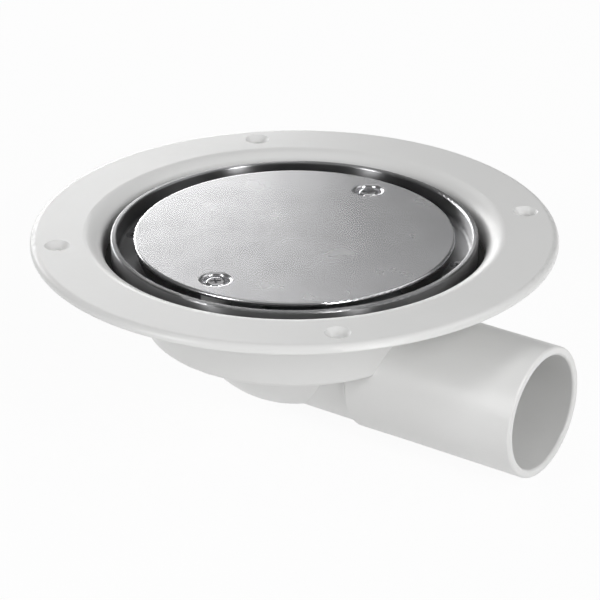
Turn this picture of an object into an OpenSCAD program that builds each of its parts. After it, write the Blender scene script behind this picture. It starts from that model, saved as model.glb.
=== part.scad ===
// Floor drain for sheet flooring, with a side outlet, a clamping ring and a screwed cover plate.
// The origin is the centre of the flange's underside, which lies on the deck that it is screwed to.
// Z points up and the outlet runs along +X. Depths are measured down from the flange's top face.

/* [Floor flange] */
// Outer diameter of the floor flange
flange_d = 200; // [196:1:230]
// Thickness of the floor flange
flange_t = 3.2; // [3:0.1:4]
// Radius that rounds the top edge of the flange
flange_edge_r = 2.5; // [1:0.1:2.6]
// Number of fixing holes in the flange
fixing_count = 4; // [3:1:8]
// Distance from the flange's edge to the centre of a fixing hole
fixing_inset = 10; // [9:0.5:13]
// Diameter of a fixing hole
fixing_d = 5; // [4.4:0.1:5.6]
// Diameter of the countersink of a fixing hole
fixing_head_d = 9.6; // [8:0.1:10.4]

/* [Mouth] */
// Inside diameter of the mouth, which the sheet flooring is turned down into
mouth_d = 145.2; // [143:0.1:148]
// Radius of the roll that leads from the flange down into the mouth
mouth_roll_r = 7.5; // [4:0.1:8.5]
// Depth of the clamping ledge below the flange's top face
ledge_depth = 12.5; // [11:0.1:14]
// Wall thickness of the moulding below the flange
wall = 2.4; // [2:0.1:3]

/* [Bowl] */
// Outside diameter of the bowl just below the ledge
bowl_top_d = 121.5; // [118:0.1:124]
// Outside diameter of the bowl at its base
bowl_base_d = 114.5; // [110:0.1:118]
// Depth of the bowl's underside below the flange's top face
bowl_depth = 38.4; // [36:0.1:40]
// Radius that rounds the bowl's lower edge
bowl_corner_r = 2.4; // [1:0.1:4]

/* [Sump] */
// Depth of the sump's lowest point below the flange's top face
sump_depth = 69.6; // [67:0.1:72]
// Outside radius of the domed sump
sump_r = 43.2; // [41:0.1:45]
// Width of the lip that the trap's seat hole leaves round the sump's mouth
seat_lip = 1; // [0.5:0.1:2]

/* [Outlet] */
// Outside diameter of the outlet spigot
outlet_d = 50; // [48:0.1:52]
// Wall thickness of the outlet spigot
outlet_wall = 3.3; // [2.8:0.1:3.8]
// Distance from the drain's axis to the spigot's open end
outlet_reach = 111.3; // [104:0.1:140]
// Distance from the drain's axis to the step where the full spigot starts
spigot_start = 39.5; // [36:0.1:46]
// Height of the outlet's invert above the sump's inside bottom
invert_step = 0.3; // [0.1:0.1:2]
// Gap between the bowl and the straight part of the spigot, which a pipe socket slides over
socket_gap = 0.75; // [0.25:0.05:4]
// Thickening of the spigot from its straight part back to its step
spigot_draft = 0.2; // [0.1:0.05:0.6]
// Radius that rounds both edges of the spigot's open end
outlet_rim_r = 1; // [0.4:0.1:1.3]

/* [Clamping ring] */
// Outside diameter of the clamping ring
ring_d = 139.4; // [138:0.1:141]
// Wall thickness of the clamping ring
ring_wall = 2.4; // [1.5:0.1:2.8]
// Thickness of the ring's foot, which presses on the flooring
ring_foot_t = 2; // [1.5:0.1:2.6]
// Depth of the ring's rim below the flange's top face
ring_drop = 1.5; // [0.5:0.1:3]
// Clearance between the bowl's inside wall and the bore of the ring's foot
ring_bore_gap = 0.2; // [0.1:0.1:1]
// Thickness of the gasket below the ring's foot
gasket_t = 1.5; // [1:0.1:2]
// Clearance between the gasket and the mouth's wall
gasket_gap = 0.5; // [0.2:0.1:1]
// Number of clamping screws
clamp_count = 8; // [4:1:12]
// Nominal diameter of a clamping screw
clamp_screw_d = 3.5; // [3:0.1:4]
// Core diameter of a clamping screw below the gasket
clamp_core_d = 2.6; // [2.2:0.1:2.9]
// Diameter of a clamping screw's countersunk head
clamp_head_d = 6.6; // [6:0.1:7]
// Length of a clamping screw
clamp_length = 8; // [6.5:0.1:8.6]
// Outside diameter of the bosses that the clamping screws bite into
clamp_boss_d = 6.8; // [6:0.1:7.4]
// Height of those bosses below the ledge
clamp_boss_h = 3.6; // [3:0.1:5]

/* [Cover plate] */
// Diameter of the cover plate
cover_d = 122.4; // [118:0.1:128]
// Thickness of the cover plate
cover_t = 1.5; // [1.2:0.1:2]
// Depth of the cover's top face below the flange's top face
cover_drop = 2; // [1:0.1:3]
// Radius that rounds the cover's top edge
cover_edge_r = 1; // [0.4:0.1:1.1]
// Diameter of the circle that the cover screws lie on
cover_pcd = 100; // [96:0.1:102]
// Inside diameter of a dimple's floor
dimple_floor_d = 9.6; // [9:0.1:11]
// Depth of a dimple's floor below the cover's top face
dimple_depth = 3.2; // [2:0.1:4]
// Sideways slope of a dimple's wall, from its mouth to its floor
dimple_slope = 0.5; // [0.2:0.1:1.5]
// Radius of the roll round a dimple's mouth
dimple_roll_r = 1.4; // [0.8:0.1:1.8]

/* [Cover screws] */
// Nominal diameter of a cover screw
cover_screw_d = 4; // [3.5:0.1:4.5]
// Diameter of a cover screw's pan head
cover_head_d = 7.6; // [7:0.1:8.4]
// Height of a cover screw's pan head
cover_head_h = 2.6; // [2:0.1:3.2]
// Length of a cover screw below its head
cover_screw_length = 14; // [11:0.1:18]
// Outside diameter of the bosses that carry the cover
cover_boss_d = 11; // [9:0.1:12]
// Thickness of the web that joins a boss to the bowl's wall
boss_web_t = 2.4; // [2:0.1:3.5]
// Outside diameter of the brass insert in a boss
insert_d = 5.6; // [5.2:0.1:6.4]
// Length of the brass insert
insert_length = 8; // [6:0.1:10]

/* [Trap insert] */
// Width of the seat disc's edge that rests on the bowl's floor
seat_lap = 6.5; // [4:0.1:8]
// Thickness of the seat disc
seat_disc_t = 2; // [1.6:0.1:3]
// Wall thickness of the trap's skirt, tube and cup
trap_wall = 1.6; // [1.2:0.1:2.2]
// Thickness of the seal ring's cord
seal_cord_d = 2; // [1.6:0.1:2.2]
// Inside diameter of the dip tube
tube_bore_d = 26; // [20:0.1:30]
// Outside diameter of the cup at its rim
cup_d = 54; // [48:0.1:58]
// Outside diameter of the cup at its base
cup_base_d = 41; // [36:0.1:44]
// Height of the flow gap between the seat disc and the cup's rim
overflow_gap = 6.5; // [4:0.1:8]
// Height of the gap between the cup's underside and the sump's inside bottom
cup_ground_gap = 7.2; // [6:0.1:9]
// Height of the gap between the dip tube's end and the cup's floor
tube_end_gap = 4; // [3:0.1:6]
// Number of arms that hold the cup
arm_count = 3; // [3:1:4]
// Angle that each arm spans
arm_span = 26; // [18:1:34]
// Height of the grip bar above the seat disc
grip_h = 5; // [3:0.1:8]
// Thickness of the grip bar
grip_t = 3; // [2:0.1:4]

/* [Fits] */
// Clearance between pieces that slip into or over each other
slip_gap = 0.1; // [0.05:0.01:0.2]
// Radial clearance between a screw and the hole that it passes through
screw_gap = 0.25; // [0.1:0.05:0.4]
// Radial clearance between a screw and its own threaded hole
thread_gap = 0.05; // [0.02:0.01:0.1]
// Clearance between the seat disc and the cover bosses
boss_gap = 1; // [0.5:0.1:2]

/* [Hidden] */
$fn = 128;

// Largest turn between two neighbouring points of a corner that isn't a right angle, in degrees
arc_step = 6;
// Largest slope at which a leg still counts as level or upright
square_limit = 0.0001;
// Small overlap that lets one cut run cleanly out of a face
over = 1;

// Flange and mouth
flange_r = flange_d / 2;
mouth_r = mouth_d / 2;
ledge_under = ledge_depth + wall;
under_fillet_r = mouth_roll_r - wall;
flange_lower_edge_r = flange_t - flange_edge_r - 0.2;
root_fillet_r = 2;
ledge_corner_r = gasket_gap - 0.1;
fixing_r = flange_r - fixing_inset;
fixing_start = 180 / fixing_count;

// Bowl
bowl_top_r = bowl_top_d / 2;
bowl_base_r = bowl_base_d / 2;
bowl_floor = bowl_depth - wall;
bowl_taper = (bowl_top_r - bowl_base_r) / (bowl_depth - ledge_under);
bowl_mouth_r = bowl_outer_r(ledge_depth) - wall;

// Sump
dome_centre = sump_depth - sump_r;
dome_inner_r = sump_r - wall;
sump_floor = sump_depth - wall;
sump_mouth_r = sqrt(pow(dome_inner_r, 2) - pow(bowl_depth - dome_centre, 2));
seat_r = sump_mouth_r - seat_lip;

// Outlet
outlet_r = outlet_d / 2;
outlet_bore_r = outlet_r - outlet_wall;
outlet_depth = sump_floor - invert_step - outlet_bore_r;
channel_r = outlet_bore_r + wall;
spigot_root_r = outlet_r + spigot_draft;
straight_start = bowl_top_r + socket_gap;

// Clamping ring and its screws
ring_r = ring_d / 2;
ring_inner_r = ring_r - ring_wall;
ring_bore_r = bowl_mouth_r + ring_bore_gap;
ring_base = ledge_depth - gasket_t;
ring_foot_top = ring_base - ring_foot_t;
ring_rim_r = 0.7;
ring_bend_r = 1.4;
clamp_circle_r = (ring_inner_r + ring_bore_r) / 2;
clamp_start = 180 / clamp_count;
clamp_hole_r = clamp_screw_d / 2 + screw_gap;
clamp_pilot_r = clamp_core_d / 2 + thread_gap;
clamp_pilot_end = ring_foot_top + clamp_length + 0.4;
clamp_head_h = (clamp_head_d - clamp_screw_d) / 2;

// Cover, dimples and cover screws
cover_r = cover_d / 2;
cover_circle_r = cover_pcd / 2;
cover_start = 90;
cover_count = 2;
dimple_floor_r = dimple_floor_d / 2;
dimple_mouth_r = dimple_floor_r + dimple_slope;
dimple_floor_z = cover_drop + dimple_depth;
boss_top = dimple_floor_z + cover_t;
boss_r = cover_boss_d / 2;
cover_hole_r = cover_screw_d / 2 + screw_gap;
insert_bore_r = cover_screw_d / 2 + thread_gap;
insert_r = insert_d / 2;
insert_groove = 0.4;
cover_screw_end = dimple_floor_z + cover_screw_length;
cover_pilot_end = cover_screw_end + 2;
head_round_r = 1.1;

// Cross recesses of both kinds of screw
recess_t = 0.9;
cover_recess_l = 4.2;
cover_recess_depth = 1.4;
clamp_recess_l = 3.4;
clamp_recess_depth = 1;

// Trap insert
seat_disc_r = seat_r + seat_lap;
seat_disc_top = bowl_floor - seat_disc_t;
skirt_r = seat_r - 0.4;
skirt_end = bowl_depth + 1.2;
seal_circle_r = seat_r - seal_cord_d / 2;
seal_depth = bowl_floor + wall / 2;
groove_r = seat_r - seal_cord_d;
groove_end = seal_depth + seal_cord_d / 2 + slip_gap;
tube_bore_r = tube_bore_d / 2;
tube_r = tube_bore_r + trap_wall;
funnel_drop = 1.6;
cup_r = cup_d / 2;
cup_base_r = cup_base_d / 2;
cup_rim = bowl_floor + overflow_gap;
cup_base = sump_floor - cup_ground_gap;
tube_end = cup_base - trap_wall - tube_end_gap;
collar_r = cup_r - trap_wall - slip_gap;
collar_h = 2.5;
funnel_r = collar_r - trap_wall;
grip_l = 2 * tube_r;

// Colours, as the eye sees them
white_plastic = [0.93, 0.93, 0.92];
grey_plastic = [0.62, 0.64, 0.66];
polished_steel = [0.78, 0.79, 0.8];
satin_steel = [0.68, 0.69, 0.7];
black_rubber = [0.08, 0.08, 0.08];
brass = [0.8, 0.65, 0.32];

// Outside radius of the bowl at a depth below the flange's top face
function bowl_outer_r(depth) = bowl_top_r - bowl_taper * (depth - ledge_under);

// Section whose sizes are in whole thousandths of a millimetre, so that its pieces meet exactly
function fine(p) = [for (q = p) [round(q[0] * 1000), round(q[1] * 1000), round(q[2] * 1000)] / 1000];

// Point i of a section of [x, y, corner radius], counted round the end
function spot(p, i) = let (q = p[(i + len(p)) % len(p)]) [q[0], q[1]];

// Unit vectors from corner i of a section to the corners before and after it
function legs(p, i) =
    let (a = spot(p, i - 1) - spot(p, i), b = spot(p, i + 1) - spot(p, i))
    [a / norm(a), b / norm(b)];

// Which way a section bends at corner i, above zero for a left turn
function bend(p, i) = let (u = legs(p, i)) u[1][0] * u[0][1] - u[1][1] * u[0][0];

// Twice the area of a section, above zero where its corners run anticlockwise
function winding(p) =
    [for (i = [0:len(p) - 1]) let (a = spot(p, i), b = spot(p, i + 1)) a[0] * b[1] - b[0] * a[1]]
    * [for (q = p) 1];

// Is corner i a rounded right angle with level and upright legs?
function is_square(p, i) =
    let (u = legs(p, i))
    p[i][2] > 0 && abs(u[0] * u[1]) < square_limit && abs(u[0][0] * u[0][1]) < square_limit;

// Centre of the arc that rounds corner i
function arc_centre(p, i) =
    let (u = legs(p, i), half = acos(u[0] * u[1]) / 2, mid = u[0] + u[1])
    spot(p, i) + p[i][2] / sin(half) * mid / norm(mid);

// Points of a section's edge at corner i: a right angle steps in to its arc's centre
function corner_points(p, i) =
    let (u = legs(p, i), r = p[i][2], turn = 180 - acos(u[0] * u[1]), c = arc_centre(p, i))
    let (start = spot(p, i) + r * tan(turn / 2) * u[0], end = spot(p, i) + r * tan(turn / 2) * u[1])
    let (from = atan2(start[1] - c[1], start[0] - c[0]), steps = ceil(turn / arc_step))
    r == 0 ? [spot(p, i)]
    : is_square(p, i) ? [start, spot(p, i) + r * (u[0] + u[1]), end]
    : [for (k = [0:steps])
        let (t = from + sign(bend(p, i)) * turn * k / steps)
        c + r * [cos(t), sin(t)]];

// Quarter disc that a right-angled corner i gains or loses
module quarter_disc(p, i) {
    u = legs(p, i) * p[i][2];
    centre = spot(p, i) + u[0] + u[1];
    intersection() {
        translate(centre)
            circle(r = p[i][2]);
        polygon([centre, centre - 2 * u[0], centre - 2 * (u[0] + u[1]), centre - 2 * u[1]]);
    }
}

// Flat section with rounded corners, from a list of [x, y, corner radius], taken anticlockwise
module section(rough) {
    q = fine(rough);
    p = winding(q) > 0 ? q : [for (i = [len(q) - 1:-1:0]) q[i]];
    difference() {
        union() {
            polygon([for (i = [0:len(p) - 1]) each corner_points(p, i)]);
            for (i = [0:len(p) - 1])
                if (is_square(p, i) && bend(p, i) > 0)
                    quarter_disc(p, i);
        }
        for (i = [0:len(p) - 1])
            if (is_square(p, i) && bend(p, i) < 0)
                quarter_disc(p, i);
    }
}

// Solid turned round the drain's axis from a half section of [radius, depth, corner radius]
module turned(p) {
    rotate_extrude()
        section([for (q = p) [q[0], -q[1], q[2]]]);
}

// Lifts its children so that their depths count from the flange's top face
module from_top() {
    translate([0, 0, flange_t])
        children();
}

// Places copies round a circle at a depth below the flange's top face
module round_circle(count, start, r, depth) {
    for (i = [0:count - 1])
        rotate([0, 0, start + i * 360 / count])
            translate([r, 0, -depth])
                children();
}

// Cylinder that hangs down from its own origin
module hanging(r, h) {
    translate([0, 0, -h])
        cylinder(r = r, h = h);
}

// Countersunk hole that opens at its own origin
module countersunk_hole(r, head_r, depth) {
    hanging(r, depth);
    translate([0, 0, r - head_r])
        cylinder(r1 = r, r2 = head_r, h = head_r - r);
    cylinder(r = head_r, h = over);
}

// Cross recess cut into a screw head whose top is at its own origin
module cross_recess(l, depth) {
    for (a = [45, 135])
        rotate([0, 0, a])
            translate([-l / 2, -recess_t / 2, -depth])
                cube([l, recess_t, depth + over]);
}

// Flange, mouth, ledge and bowl before they are hollowed
module bowl_block() {
    turned([
        [0, 0, 0],
        [flange_r, 0, flange_edge_r],
        [flange_r, flange_t, flange_lower_edge_r],
        [mouth_r + wall, flange_t, under_fillet_r],
        [mouth_r + wall, ledge_under, wall],
        [bowl_top_r, ledge_under, root_fillet_r],
        [bowl_base_r, bowl_depth, bowl_corner_r],
        [0, bowl_depth, 0]
    ]);
}

// Space inside the mouth and the bowl, with the roll that leads in from the flange
module bowl_space() {
    turned([
        [0, -over, 0],
        [mouth_r + mouth_roll_r + over, -over, 0],
        [mouth_r + mouth_roll_r + over, 0, 0],
        [mouth_r, 0, mouth_roll_r],
        [mouth_r, ledge_depth, ledge_corner_r],
        [bowl_mouth_r, ledge_depth, 0.8],
        [bowl_outer_r(bowl_floor) - wall, bowl_floor, bowl_corner_r],
        [0, bowl_floor, 0]
    ]);
}

// Ball of the dome, cut off level inside the bowl's floor
module dome(r) {
    intersection() {
        translate([0, 0, -dome_centre])
            sphere(r = r);
        translate([0, 0, -sump_depth - over])
            cylinder(r = sump_r + over, h = sump_depth + over - bowl_depth + wall / 2);
    }
}

// Solid turned round the outlet's axis from a half section of [radius, reach, corner radius]
module outlet_turned(p) {
    translate([0, 0, -outlet_depth])
        rotate([0, 90, 0])
            rotate_extrude()
                section(p);
}

// Domed sump, channel and outlet spigot, hollow throughout
module sump_and_outlet() {
    difference() {
        union() {
            dome(sump_r);
            outlet_turned([
                [0, 0, 0],
                [channel_r, 0, 0],
                [channel_r, spigot_start, 0],
                [spigot_root_r, spigot_start + spigot_root_r - channel_r, 0],
                [outlet_r, straight_start, 0],
                [outlet_r, outlet_reach, outlet_rim_r],
                [0, outlet_reach, 0]
            ]);
        }
        dome(dome_inner_r);
        outlet_turned([
            [0, 0, 0],
            [outlet_bore_r, 0, 0],
            [outlet_bore_r, outlet_reach, outlet_rim_r],
            [outlet_bore_r + outlet_rim_r + over, outlet_reach, 0],
            [outlet_bore_r + outlet_rim_r + over, outlet_reach + over, 0],
            [0, outlet_reach + over, 0]
        ]);
    }
}

// Bosses below the ledge that the clamping screws bite into
module clamp_bosses() {
    round_circle(clamp_count, clamp_start, clamp_circle_r, ledge_depth + wall / 2)
        hanging(clamp_boss_d / 2, wall / 2 + clamp_boss_h);
}

// Bosses on the bowl's floor that carry the cover, each with a web to the wall
module cover_bosses() {
    reach = bowl_outer_r(ring_foot_top) - cover_circle_r;
    intersection() {
        union() {
            round_circle(cover_count, cover_start, cover_circle_r, boss_top)
                hanging(boss_r, bowl_floor - boss_top + wall / 2);
            round_circle(cover_count, cover_start, cover_circle_r, ledge_under)
                translate([0, -boss_web_t / 2, ledge_under - bowl_depth])
                    cube([reach, boss_web_t, bowl_depth - ledge_under]);
        }
        translate([0, 0, -bowl_depth])
            cylinder(
                r1 = bowl_base_r - wall / 2,
                r2 = bowl_outer_r(0) - wall / 2,
                h = bowl_depth
            );
    }
}

// One-piece moulded body
module drain_body() {
    color(white_plastic)
        from_top()
            difference() {
                union() {
                    difference() {
                        union() {
                            bowl_block();
                            sump_and_outlet();
                            clamp_bosses();
                        }
                        bowl_space();
                        translate([0, 0, -bowl_depth - over])
                            cylinder(r = seat_r, h = wall + 2 * over);
                    }
                    cover_bosses();
                }
                round_circle(fixing_count, fixing_start, fixing_r, 0)
                    countersunk_hole(fixing_d / 2, fixing_head_d / 2, flange_t + under_fillet_r + over);
                round_circle(clamp_count, clamp_start, clamp_circle_r, ledge_depth - over)
                    hanging(clamp_pilot_r, clamp_pilot_end - ledge_depth + over);
                round_circle(cover_count, cover_start, cover_circle_r, boss_top - over)
                    hanging(insert_r, insert_length + over);
                round_circle(cover_count, cover_start, cover_circle_r, boss_top)
                    hanging(cover_hole_r, cover_pilot_end - boss_top);
            }
}

// Flat rubber gasket between the ledge and the ring's foot
module ring_gasket() {
    color(black_rubber)
        from_top()
            difference() {
                turned([
                    [ring_bore_r, ring_base, 0],
                    [mouth_r - gasket_gap, ring_base, 0],
                    [mouth_r - gasket_gap, ledge_depth, 0],
                    [ring_bore_r, ledge_depth, 0]
                ]);
                round_circle(clamp_count, clamp_start, clamp_circle_r, ring_base - over)
                    hanging(clamp_hole_r, gasket_t + 2 * over);
            }
}

// Clamping ring of L section, with a countersunk hole for each clamping screw
module clamp_ring() {
    color(polished_steel)
        from_top()
            difference() {
                turned([
                    [ring_bore_r, ring_base, 0],
                    [ring_bore_r, ring_foot_top, ring_rim_r],
                    [ring_inner_r, ring_foot_top, ring_bend_r],
                    [ring_inner_r, ring_drop, ring_rim_r],
                    [ring_r, ring_drop, ring_rim_r],
                    [ring_r, ring_base, ring_bend_r]
                ]);
                round_circle(clamp_count, clamp_start, clamp_circle_r, ring_foot_top)
                    countersunk_hole(clamp_hole_r, clamp_head_d / 2 + slip_gap, ring_foot_t + over);
            }
}

// One clamping screw, with the top of its head at its own origin
module clamp_screw() {
    neck_end = ledge_depth - ring_foot_top - slip_gap;
    difference() {
        turned([
            [0, 0, 0],
            [clamp_head_d / 2, 0, 0],
            [clamp_head_d / 2, slip_gap, 0],
            [clamp_screw_d / 2, clamp_head_h + slip_gap, 0],
            [clamp_screw_d / 2, neck_end, 0],
            [clamp_core_d / 2, neck_end, 0],
            [clamp_core_d / 2, clamp_length - clamp_core_d / 2, 0],
            [0, clamp_length, 0]
        ]);
        cross_recess(clamp_recess_l, clamp_recess_depth);
    }
}

module clamp_screws() {
    color(satin_steel)
        from_top()
            round_circle(clamp_count, clamp_start, clamp_circle_r, ring_foot_top)
                clamp_screw();
}

// Space inside a pressed dimple, measured from the cover's top face
module dimple_space() {
    turned([
        [0, -over, 0],
        [dimple_mouth_r + dimple_roll_r + over, -over, 0],
        [dimple_mouth_r + dimple_roll_r + over, 0, 0],
        [dimple_mouth_r, 0, dimple_roll_r],
        [dimple_floor_r, dimple_depth, 0.5],
        [0, dimple_depth, 0]
    ]);
}

// Sheet metal round a pressed dimple, before it is hollowed
module dimple_block() {
    turned([
        [0, cover_t / 2, 0],
        [dimple_mouth_r + dimple_roll_r + cover_t, cover_t / 2, 0],
        [dimple_mouth_r + dimple_roll_r + cover_t, cover_t, 0],
        [dimple_mouth_r + cover_t, cover_t, 0.6],
        [dimple_floor_r + cover_t, dimple_depth + cover_t, 1],
        [0, dimple_depth + cover_t, 0]
    ]);
}

// Pressed cover plate
module cover_plate() {
    color(satin_steel)
        from_top()
            difference() {
                union() {
                    turned([
                        [0, cover_drop, 0],
                        [cover_r, cover_drop, cover_edge_r],
                        [cover_r, cover_drop + cover_t, 0.2],
                        [0, cover_drop + cover_t, 0]
                    ]);
                    round_circle(cover_count, cover_start, cover_circle_r, cover_drop)
                        dimple_block();
                }
                round_circle(cover_count, cover_start, cover_circle_r, cover_drop)
                    dimple_space();
                round_circle(cover_count, cover_start, cover_circle_r, cover_drop)
                    hanging(cover_hole_r, dimple_depth + cover_t + over);
            }
}

// One pan head screw, with the underside of its head at its own origin
module cover_screw() {
    difference() {
        turned([
            [0, -cover_head_h, 0],
            [cover_head_d / 2, -cover_head_h, head_round_r],
            [cover_head_d / 2, 0, 0.2],
            [cover_screw_d / 2, 0, 0],
            [cover_screw_d / 2, cover_screw_length, 0.5],
            [0, cover_screw_length, 0]
        ]);
        translate([0, 0, cover_head_h])
            cross_recess(cover_recess_l, cover_recess_depth);
    }
}

module cover_screws() {
    color(polished_steel)
        from_top()
            round_circle(cover_count, cover_start, cover_circle_r, dimple_floor_z)
                cover_screw();
}

// Brass insert with two grooves that lock it into its boss
module screw_insert() {
    turned([
        [insert_bore_r, 0, 0],
        [insert_r, 0, 0],
        [insert_r, insert_length * 0.25, 0],
        [insert_r - insert_groove, insert_length * 0.25, 0],
        [insert_r - insert_groove, insert_length * 0.4, 0],
        [insert_r, insert_length * 0.4, 0],
        [insert_r, insert_length * 0.6, 0],
        [insert_r - insert_groove, insert_length * 0.6, 0],
        [insert_r - insert_groove, insert_length * 0.75, 0],
        [insert_r, insert_length * 0.75, 0],
        [insert_r, insert_length, 0],
        [insert_bore_r, insert_length, 0]
    ]);
}

module screw_inserts() {
    color(brass)
        from_top()
            round_circle(cover_count, cover_start, cover_circle_r, boss_top)
                screw_insert();
}

// Seat disc that funnels into a dip tube, with a sealing skirt, a cup collar and a grip bar
module trap_funnel() {
    color(grey_plastic)
        from_top() {
            difference() {
                turned([
                    [seat_disc_r, bowl_floor, 0.3],
                    [seat_disc_r, seat_disc_top, 0.8],
                    [funnel_r, seat_disc_top, 3],
                    [tube_bore_r, seat_disc_top + funnel_drop, 1.2],
                    [tube_bore_r, tube_end, 0.3],
                    [tube_r, tube_end, 0.3],
                    [tube_r, bowl_floor + funnel_drop, 0.8],
                    [funnel_r, bowl_floor, 0],
                    [funnel_r, bowl_floor + collar_h, 0.3],
                    [collar_r, bowl_floor + collar_h, 0.3],
                    [collar_r, bowl_floor, 0],
                    [groove_r - trap_wall, bowl_floor, 0],
                    [groove_r - trap_wall, skirt_end, 0.3],
                    [skirt_r, skirt_end, 0.3],
                    [skirt_r, groove_end, 0],
                    [groove_r, groove_end, 0],
                    [groove_r, bowl_floor, 0]
                ]);
                round_circle(cover_count, cover_start, cover_circle_r, seat_disc_top - over)
                    hanging(boss_r + boss_gap, seat_disc_t + 2 * over);
            }
            translate([-grip_l / 2, -grip_t / 2, -seat_disc_top - funnel_drop])
                cube([grip_l, grip_t, funnel_drop + grip_h]);
        }
}

// Seal ring in the skirt's groove
module trap_seal() {
    color(black_rubber)
        from_top()
            rotate_extrude()
                translate([seal_circle_r, -seal_depth])
                    circle(r = seal_cord_d / 2);
}

// Cup that holds the water seal, hung by its arms on the funnel's collar
module trap_cup() {
    color(grey_plastic)
        from_top() {
            turned([
                [0, cup_base, 0],
                [cup_base_r, cup_base, 3],
                [cup_r, cup_rim, 0.3],
                [cup_r - trap_wall, cup_rim, 0.3],
                [cup_base_r - trap_wall, cup_base - trap_wall, 2],
                [0, cup_base - trap_wall, 0]
            ]);
            for (i = [0:arm_count - 1])
                rotate([0, 0, i * 360 / arm_count + 60 - arm_span / 2])
                    translate([0, 0, -cup_rim - trap_wall])
                        rotate_extrude(angle = arm_span)
                            translate([cup_r - trap_wall, 0])
                                square([trap_wall, cup_rim + trap_wall - bowl_floor]);
        }
}

drain_body();
ring_gasket();
clamp_ring();
clamp_screws();
cover_plate();
cover_screws();
screw_inserts();
trap_funnel();
trap_seal();
trap_cup();
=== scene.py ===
"""Looks of a floor drain with a side outlet, a clamping ring and a screwed cover plate.

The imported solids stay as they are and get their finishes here, in the order in which the drain
is put together. Lengths are in metres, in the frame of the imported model: the origin is the
centre of the flange's underside, Z points up and the outlet runs along +X.
"""

import math
import bpy
from mathutils import Matrix, Vector


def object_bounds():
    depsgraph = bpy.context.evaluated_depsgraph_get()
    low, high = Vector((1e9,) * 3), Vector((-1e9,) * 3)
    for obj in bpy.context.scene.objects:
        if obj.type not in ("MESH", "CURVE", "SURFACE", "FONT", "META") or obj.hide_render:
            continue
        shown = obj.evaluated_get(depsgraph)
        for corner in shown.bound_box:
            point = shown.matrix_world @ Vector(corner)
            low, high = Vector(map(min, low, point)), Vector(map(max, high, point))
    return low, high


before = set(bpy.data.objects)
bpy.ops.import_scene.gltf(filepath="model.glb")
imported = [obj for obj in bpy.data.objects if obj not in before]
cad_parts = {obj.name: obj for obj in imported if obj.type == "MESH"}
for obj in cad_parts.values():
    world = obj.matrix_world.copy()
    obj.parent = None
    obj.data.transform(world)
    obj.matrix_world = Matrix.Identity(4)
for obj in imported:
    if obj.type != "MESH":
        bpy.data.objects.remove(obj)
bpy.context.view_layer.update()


# The photograph's view. A long lens looks down on the drain from the side that the outlet
# points to, and the frame is square.
view_place = Vector((0.53446, -0.75250, 0.41870))
view_along = Vector((-0.51980, 0.73530, -0.43490))
view_roll = -0.0026
view_lens_mm = 160.23
view_film_mm = 36.0

camera_data = bpy.data.cameras.new("photo_camera")
camera_data.lens = view_lens_mm
camera_data.sensor_width = view_film_mm
camera = bpy.data.objects.new("photo_camera", camera_data)
bpy.context.scene.collection.objects.link(camera)
camera_turn = view_along.to_track_quat("-Z", "Y").to_matrix().to_4x4()
camera.matrix_world = (
    Matrix.Translation(view_place) @ camera_turn @ Matrix.Rotation(view_roll, 4, "Z")
)
bpy.context.scene.camera = camera


# Drain body. One injection moulding of glossy white plastic: flange, mouth, bowl, domed sump
# and outlet spigot. Its skin has the faint ripple of a polished mould and slight yellowing
# where the plastic is thick.
plastic_white = (0.78, 0.78, 0.775, 1.0)
plastic_shade = (0.70, 0.70, 0.69, 1.0)
plastic_roughness = (0.30, 0.40)
plastic_ripple_per_m = 240.0
plastic_grain_per_m = 2600.0


def add_group(name, inputs, outputs):
    """Starts a node group whose named inputs have defaults and whose outputs are values."""
    group = bpy.data.node_groups.new(name, "ShaderNodeTree")
    for label, kind, value in inputs:
        socket = group.interface.new_socket(label, in_out="INPUT", socket_type=kind)
        socket.default_value = value
    for label, kind in outputs:
        group.interface.new_socket(label, in_out="OUTPUT", socket_type=kind)
    start = group.nodes.new("NodeGroupInput")
    end = group.nodes.new("NodeGroupOutput")
    return group, start, end


def add_node(tree, kind, **settings):
    """Adds a node and sets its properties, or its inputs where a setting names an input."""
    node = tree.nodes.new(kind)
    for key, value in settings.items():
        if key.startswith("in_"):
            node.inputs[int(key[3:])].default_value = value
        else:
            setattr(node, key, value)
    return node


# Moulded skin: slow ripple, fine grain and a cloudy mask, all from the place on the piece.
moulded_skin, skin_in, skin_out = add_group(
    "moulded_skin",
    [
        ("Ripple Scale", "NodeSocketFloat", 200.0),
        ("Grain Scale", "NodeSocketFloat", 2000.0),
        ("Grain Share", "NodeSocketFloat", 0.2),
    ],
    [("Height", "NodeSocketFloat"), ("Cloud", "NodeSocketFloat")],
)
place = add_node(moulded_skin, "ShaderNodeTexCoord")
ripple = add_node(moulded_skin, "ShaderNodeTexNoise", noise_dimensions="3D")
ripple.inputs["Detail"].default_value = 2.0
grain = add_node(moulded_skin, "ShaderNodeTexNoise", noise_dimensions="3D")
grain.inputs["Detail"].default_value = 3.0
cloud = add_node(moulded_skin, "ShaderNodeTexNoise", noise_dimensions="3D")
cloud.inputs["Scale"].default_value = 18.0
cloud.inputs["Detail"].default_value = 4.0
blend = add_node(moulded_skin, "ShaderNodeMix", data_type="FLOAT")
for noise in (ripple, grain, cloud):
    moulded_skin.links.new(place.outputs["Object"], noise.inputs["Vector"])
moulded_skin.links.new(skin_in.outputs["Ripple Scale"], ripple.inputs["Scale"])
moulded_skin.links.new(skin_in.outputs["Grain Scale"], grain.inputs["Scale"])
moulded_skin.links.new(skin_in.outputs["Grain Share"], blend.inputs[0])
moulded_skin.links.new(ripple.outputs[0], blend.inputs[2])
moulded_skin.links.new(grain.outputs[0], blend.inputs[3])
moulded_skin.links.new(blend.outputs[0], skin_out.inputs["Height"])
moulded_skin.links.new(cloud.outputs[0], skin_out.inputs["Cloud"])


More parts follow.
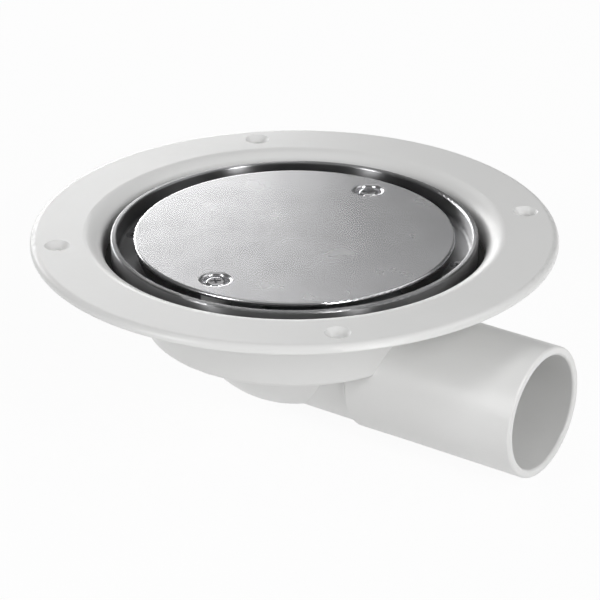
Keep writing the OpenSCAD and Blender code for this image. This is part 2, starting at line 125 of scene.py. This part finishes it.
def start_material(name):
    """New node material: returns it, its tree and its Principled shader."""
    material = bpy.data.materials.new(name)
    material.use_nodes = True
    shader = material.node_tree.nodes["Principled BSDF"]
    return material, material.node_tree, shader


def moulded_material(name, light, dark, roughness, ripple_scale, grain_scale, grain_share, bump_m):
    """Moulded plastic or rubber whose colour, gloss and skin vary slightly over the piece."""
    material, tree, shader = start_material(name)
    skin = add_node(tree, "ShaderNodeGroup", node_tree=moulded_skin)
    skin.inputs["Ripple Scale"].default_value = ripple_scale
    skin.inputs["Grain Scale"].default_value = grain_scale
    skin.inputs["Grain Share"].default_value = grain_share
    tint = add_node(tree, "ShaderNodeMix", data_type="RGBA")
    tint.inputs[6].default_value = light
    tint.inputs[7].default_value = dark
    gloss = add_node(tree, "ShaderNodeMapRange")
    gloss.inputs["From Min"].default_value = 0.3
    gloss.inputs["From Max"].default_value = 0.7
    gloss.inputs["To Min"].default_value = roughness[0]
    gloss.inputs["To Max"].default_value = roughness[1]
    bump = add_node(tree, "ShaderNodeBump")
    bump.inputs["Distance"].default_value = bump_m
    bump.inputs["Strength"].default_value = 1.0
    tree.links.new(skin.outputs["Cloud"], tint.inputs[0])
    tree.links.new(tint.outputs[2], shader.inputs["Base Color"])
    tree.links.new(skin.outputs["Cloud"], gloss.inputs["Value"])
    tree.links.new(gloss.outputs[0], shader.inputs["Roughness"])
    tree.links.new(skin.outputs["Height"], bump.inputs["Height"])
    tree.links.new(bump.outputs[0], shader.inputs["Normal"])
    return material


def dress(node, material):
    """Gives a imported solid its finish."""
    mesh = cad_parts[node].data
    mesh.materials.clear()
    mesh.materials.append(material)


white_plastic = moulded_material(
    "white_plastic_moulded",
    plastic_white,
    plastic_shade,
    plastic_roughness,
    plastic_ripple_per_m,
    plastic_grain_per_m,
    0.15,
    0.00004,
)
dress("drain_body", white_plastic)


# Gasket. A flat ring cut from black rubber sheet, pressed between the ledge and the
# clamping ring.
rubber_black = (0.022, 0.022, 0.022, 1.0)
rubber_dusty = (0.040, 0.040, 0.038, 1.0)
black_rubber = moulded_material(
    "black_rubber_sheet", rubber_black, rubber_dusty, (0.55, 0.75), 500.0, 5000.0, 0.6, 0.00003
)
dress("ring_gasket", black_rubber)


# Clamping ring. Stainless steel of L section, turned and polished, so fine marks run round it
# and draw each highlight out into an upright streak.
# The ring's steel colour is set darker than polished steel is. This is painted shade, standing in
# for the dark cavity and room that the polished ring mirrors.
ring_steel_painted_dark = (0.32, 0.32, 0.325, 1.0)
ring_roughness = 0.30
across_the_marks = 0.25
ring_marks_per_m = 9000.0

turned_marks, marks_in, marks_out = add_group(
    "turned_marks",
    [("Marks Scale", "NodeSocketFloat", 9000.0)],
    [("Height", "NodeSocketFloat"), ("Mask", "NodeSocketFloat")],
)
marks_place = add_node(turned_marks, "ShaderNodeTexCoord")
marks_split = add_node(turned_marks, "ShaderNodeSeparateXYZ")
marks_flat = add_node(turned_marks, "ShaderNodeCombineXYZ")
marks_radius = add_node(turned_marks, "ShaderNodeVectorMath", operation="LENGTH")
marks_section = add_node(turned_marks, "ShaderNodeCombineXYZ")
marks_noise = add_node(turned_marks, "ShaderNodeTexNoise", noise_dimensions="3D")
marks_noise.inputs["Detail"].default_value = 2.0
marks_wear = add_node(turned_marks, "ShaderNodeTexNoise", noise_dimensions="3D")
marks_wear.inputs["Scale"].default_value = 60.0
turned_marks.links.new(marks_place.outputs["Object"], marks_split.inputs[0])
turned_marks.links.new(marks_split.outputs[0], marks_flat.inputs[0])
turned_marks.links.new(marks_split.outputs[1], marks_flat.inputs[1])
turned_marks.links.new(marks_flat.outputs[0], marks_radius.inputs[0])
turned_marks.links.new(marks_radius.outputs["Value"], marks_section.inputs[0])
turned_marks.links.new(marks_split.outputs[2], marks_section.inputs[2])
turned_marks.links.new(marks_section.outputs[0], marks_noise.inputs["Vector"])
turned_marks.links.new(marks_in.outputs["Marks Scale"], marks_noise.inputs["Scale"])
turned_marks.links.new(marks_place.outputs["Object"], marks_wear.inputs["Vector"])
turned_marks.links.new(marks_noise.outputs[0], marks_out.inputs["Height"])
turned_marks.links.new(marks_wear.outputs[0], marks_out.inputs["Mask"])


def steel_material(name, colour, roughness, marks_scale, bump_m, anisotropy):
    """Steel whose turning marks run round the drain's axis."""
    material, tree, shader = start_material(name)
    shader.inputs["Metallic"].default_value = 1.0
    shader.inputs["Base Color"].default_value = colour
    shader.inputs["Anisotropic"].default_value = anisotropy
    shader.inputs["Anisotropic Rotation"].default_value = across_the_marks
    marks = add_node(tree, "ShaderNodeGroup", node_tree=turned_marks)
    marks.inputs["Marks Scale"].default_value = marks_scale
    gloss = add_node(tree, "ShaderNodeMapRange")
    gloss.inputs["To Min"].default_value = roughness * 0.85
    gloss.inputs["To Max"].default_value = roughness * 1.15
    bump = add_node(tree, "ShaderNodeBump")
    bump.inputs["Distance"].default_value = bump_m
    direction = add_node(tree, "ShaderNodeTangent", direction_type="RADIAL", axis="Z")
    tree.links.new(marks.outputs["Mask"], gloss.inputs["Value"])
    tree.links.new(gloss.outputs[0], shader.inputs["Roughness"])
    tree.links.new(marks.outputs["Height"], bump.inputs["Height"])
    tree.links.new(bump.outputs[0], shader.inputs["Normal"])
    tree.links.new(direction.outputs[0], shader.inputs["Tangent"])
    return material


polished_steel = steel_material(
    "turned_polished_steel", ring_steel_painted_dark, ring_roughness, ring_marks_per_m, 0.000002, 1.0
)
dress("clamp_ring", polished_steel)


# Clamping screws. Countersunk steel screws that pull the ring down on the gasket.
screw_steel = (0.68, 0.68, 0.69, 1.0)
bright_steel = steel_material("bright_screw_steel", screw_steel, 0.14, 4000.0, 0.000004, 0.0)
dress("clamp_screws", bright_steel)


# Screw inserts. Turned brass sleeves pressed into the bosses that carry the cover.
insert_brass = (0.70, 0.50, 0.20, 1.0)
plain_brass = steel_material("turned_brass", insert_brass, 0.28, 5000.0, 0.000006, 0.0)
dress("screw_inserts", plain_brass)


# Cover plate. Stainless sheet with a satin ground face, blanked, pressed and deburred.
cover_steel = (0.60, 0.60, 0.61, 1.0)
cover_roughness = 0.26

satin_steel = steel_material(
    "satin_ground_steel", cover_steel, cover_roughness, 2500.0, 0.0000002, 0.0
)
dress("cover_plate", satin_steel)


# Cover screws. Pan head machine screws with a cross recess, polished.
dress("cover_screws", bright_steel)


# Trap insert. Funnel, seal ring and cup, moulded in grey plastic and black rubber.
trap_grey = (0.36, 0.37, 0.38, 1.0)
trap_shade = (0.31, 0.32, 0.33, 1.0)
grey_plastic = moulded_material(
    "grey_plastic_moulded", trap_grey, trap_shade, (0.38, 0.5), 260.0, 3000.0, 0.3, 0.00004
)
for trap_piece in ("trap_funnel", "trap_cup"):
    dress(trap_piece, grey_plastic)
dress("trap_seal", black_rubber)


# Floor. A wide pale sheet that the drain stands over. It shows white to the camera and in the
# metal, and keeps the drain's soft shadow.
floor_side = 12.0
floor_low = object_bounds()[0][2]
bpy.ops.object.select_all(action="DESELECT")
bpy.ops.mesh.primitive_plane_add(size=floor_side, location=(0.0, 0.0, floor_low))
floor = bpy.context.object
floor.name = "studio_floor"
floor_material, floor_tree, floor_shader = start_material("pale_floor")
floor_shader.inputs["Base Color"].default_value = (0.86, 0.86, 0.86, 1.0)
floor_shader.inputs["Roughness"].default_value = 0.9
floor_glow = add_node(floor_tree, "ShaderNodeEmission")
floor_glow.inputs["Strength"].default_value = 1.0
floor_rays = add_node(floor_tree, "ShaderNodeLightPath")
floor_seen = add_node(floor_tree, "ShaderNodeMath", operation="MAXIMUM")
floor_share = add_node(floor_tree, "ShaderNodeMath", operation="MULTIPLY")
floor_share.inputs[1].default_value = 0.94
floor_mix = add_node(floor_tree, "ShaderNodeMixShader")
floor_tree.links.new(floor_rays.outputs["Is Camera Ray"], floor_seen.inputs[0])
floor_tree.links.new(floor_rays.outputs["Is Glossy Ray"], floor_seen.inputs[1])
floor_tree.links.new(floor_seen.outputs[0], floor_share.inputs[0])
floor_tree.links.new(floor_share.outputs[0], floor_mix.inputs[0])
floor_tree.links.new(floor_shader.outputs[0], floor_mix.inputs[1])
floor_tree.links.new(floor_glow.outputs[0], floor_mix.inputs[2])
floor_tree.links.new(floor_mix.outputs[0], floor_tree.nodes["Material Output"].inputs[0])
floor.data.materials.append(floor_material)


# Light. Six softboxes round the drain. A wide low one behind to the left is what the cover
# mirrors, so the cover darkens towards the front right. Two tall ones in front stand where the
# turned ring mirrors them as upright streaks on its far inner wall. The pale room is dim.
room_level = 0.12
aim = Vector((0.0, 0.0, -0.02))


def add_softbox(name, turn_deg, height_deg, distance, width, height, watts):
    """Adds a rectangular lamp that looks at the drain from a turn and a height in degrees."""
    turn, rise = math.radians(turn_deg), math.radians(height_deg)
    flat = math.cos(rise)
    away = Vector((math.cos(turn) * flat, math.sin(turn) * flat, math.sin(rise)))
    lamp_data = bpy.data.lights.new(name, "AREA")
    lamp_data.shape = "RECTANGLE"
    lamp_data.size = width
    lamp_data.size_y = height
    lamp_data.energy = watts
    lamp = bpy.data.objects.new(name, lamp_data)
    bpy.context.scene.collection.objects.link(lamp)
    lamp.location = aim + away * distance
    lamp.rotation_euler = (-away).to_track_quat("-Z", "Y").to_euler()


add_softbox("overhead_softbox", 125.0, 85.0, 1.6, 1.4, 1.4, 4.0)
add_softbox("rear_low_softbox", 150.0, 12.0, 1.8, 1.6, 0.5, 16.5)
add_softbox("rear_softbox", 125.0, 38.0, 1.8, 1.2, 0.7, 1.5)
add_softbox("front_left_softbox", -107.0, 24.0, 1.6, 0.26, 1.0, 10.0)
add_softbox("front_right_softbox", -16.0, 24.0, 1.6, 0.26, 1.0, 13.0)
add_softbox("right_softbox", 35.0, 40.0, 1.6, 1.0, 1.0, 4.0)

room = bpy.data.worlds.new("pale_room")
bpy.context.scene.world = room
room.use_nodes = True
room.node_tree.nodes["Background"].inputs["Color"].default_value = (1.0, 1.0, 1.0, 1.0)
room.node_tree.nodes["Background"].inputs["Strength"].default_value = room_level

bpy.context.scene.view_settings.view_transform = "Standard"
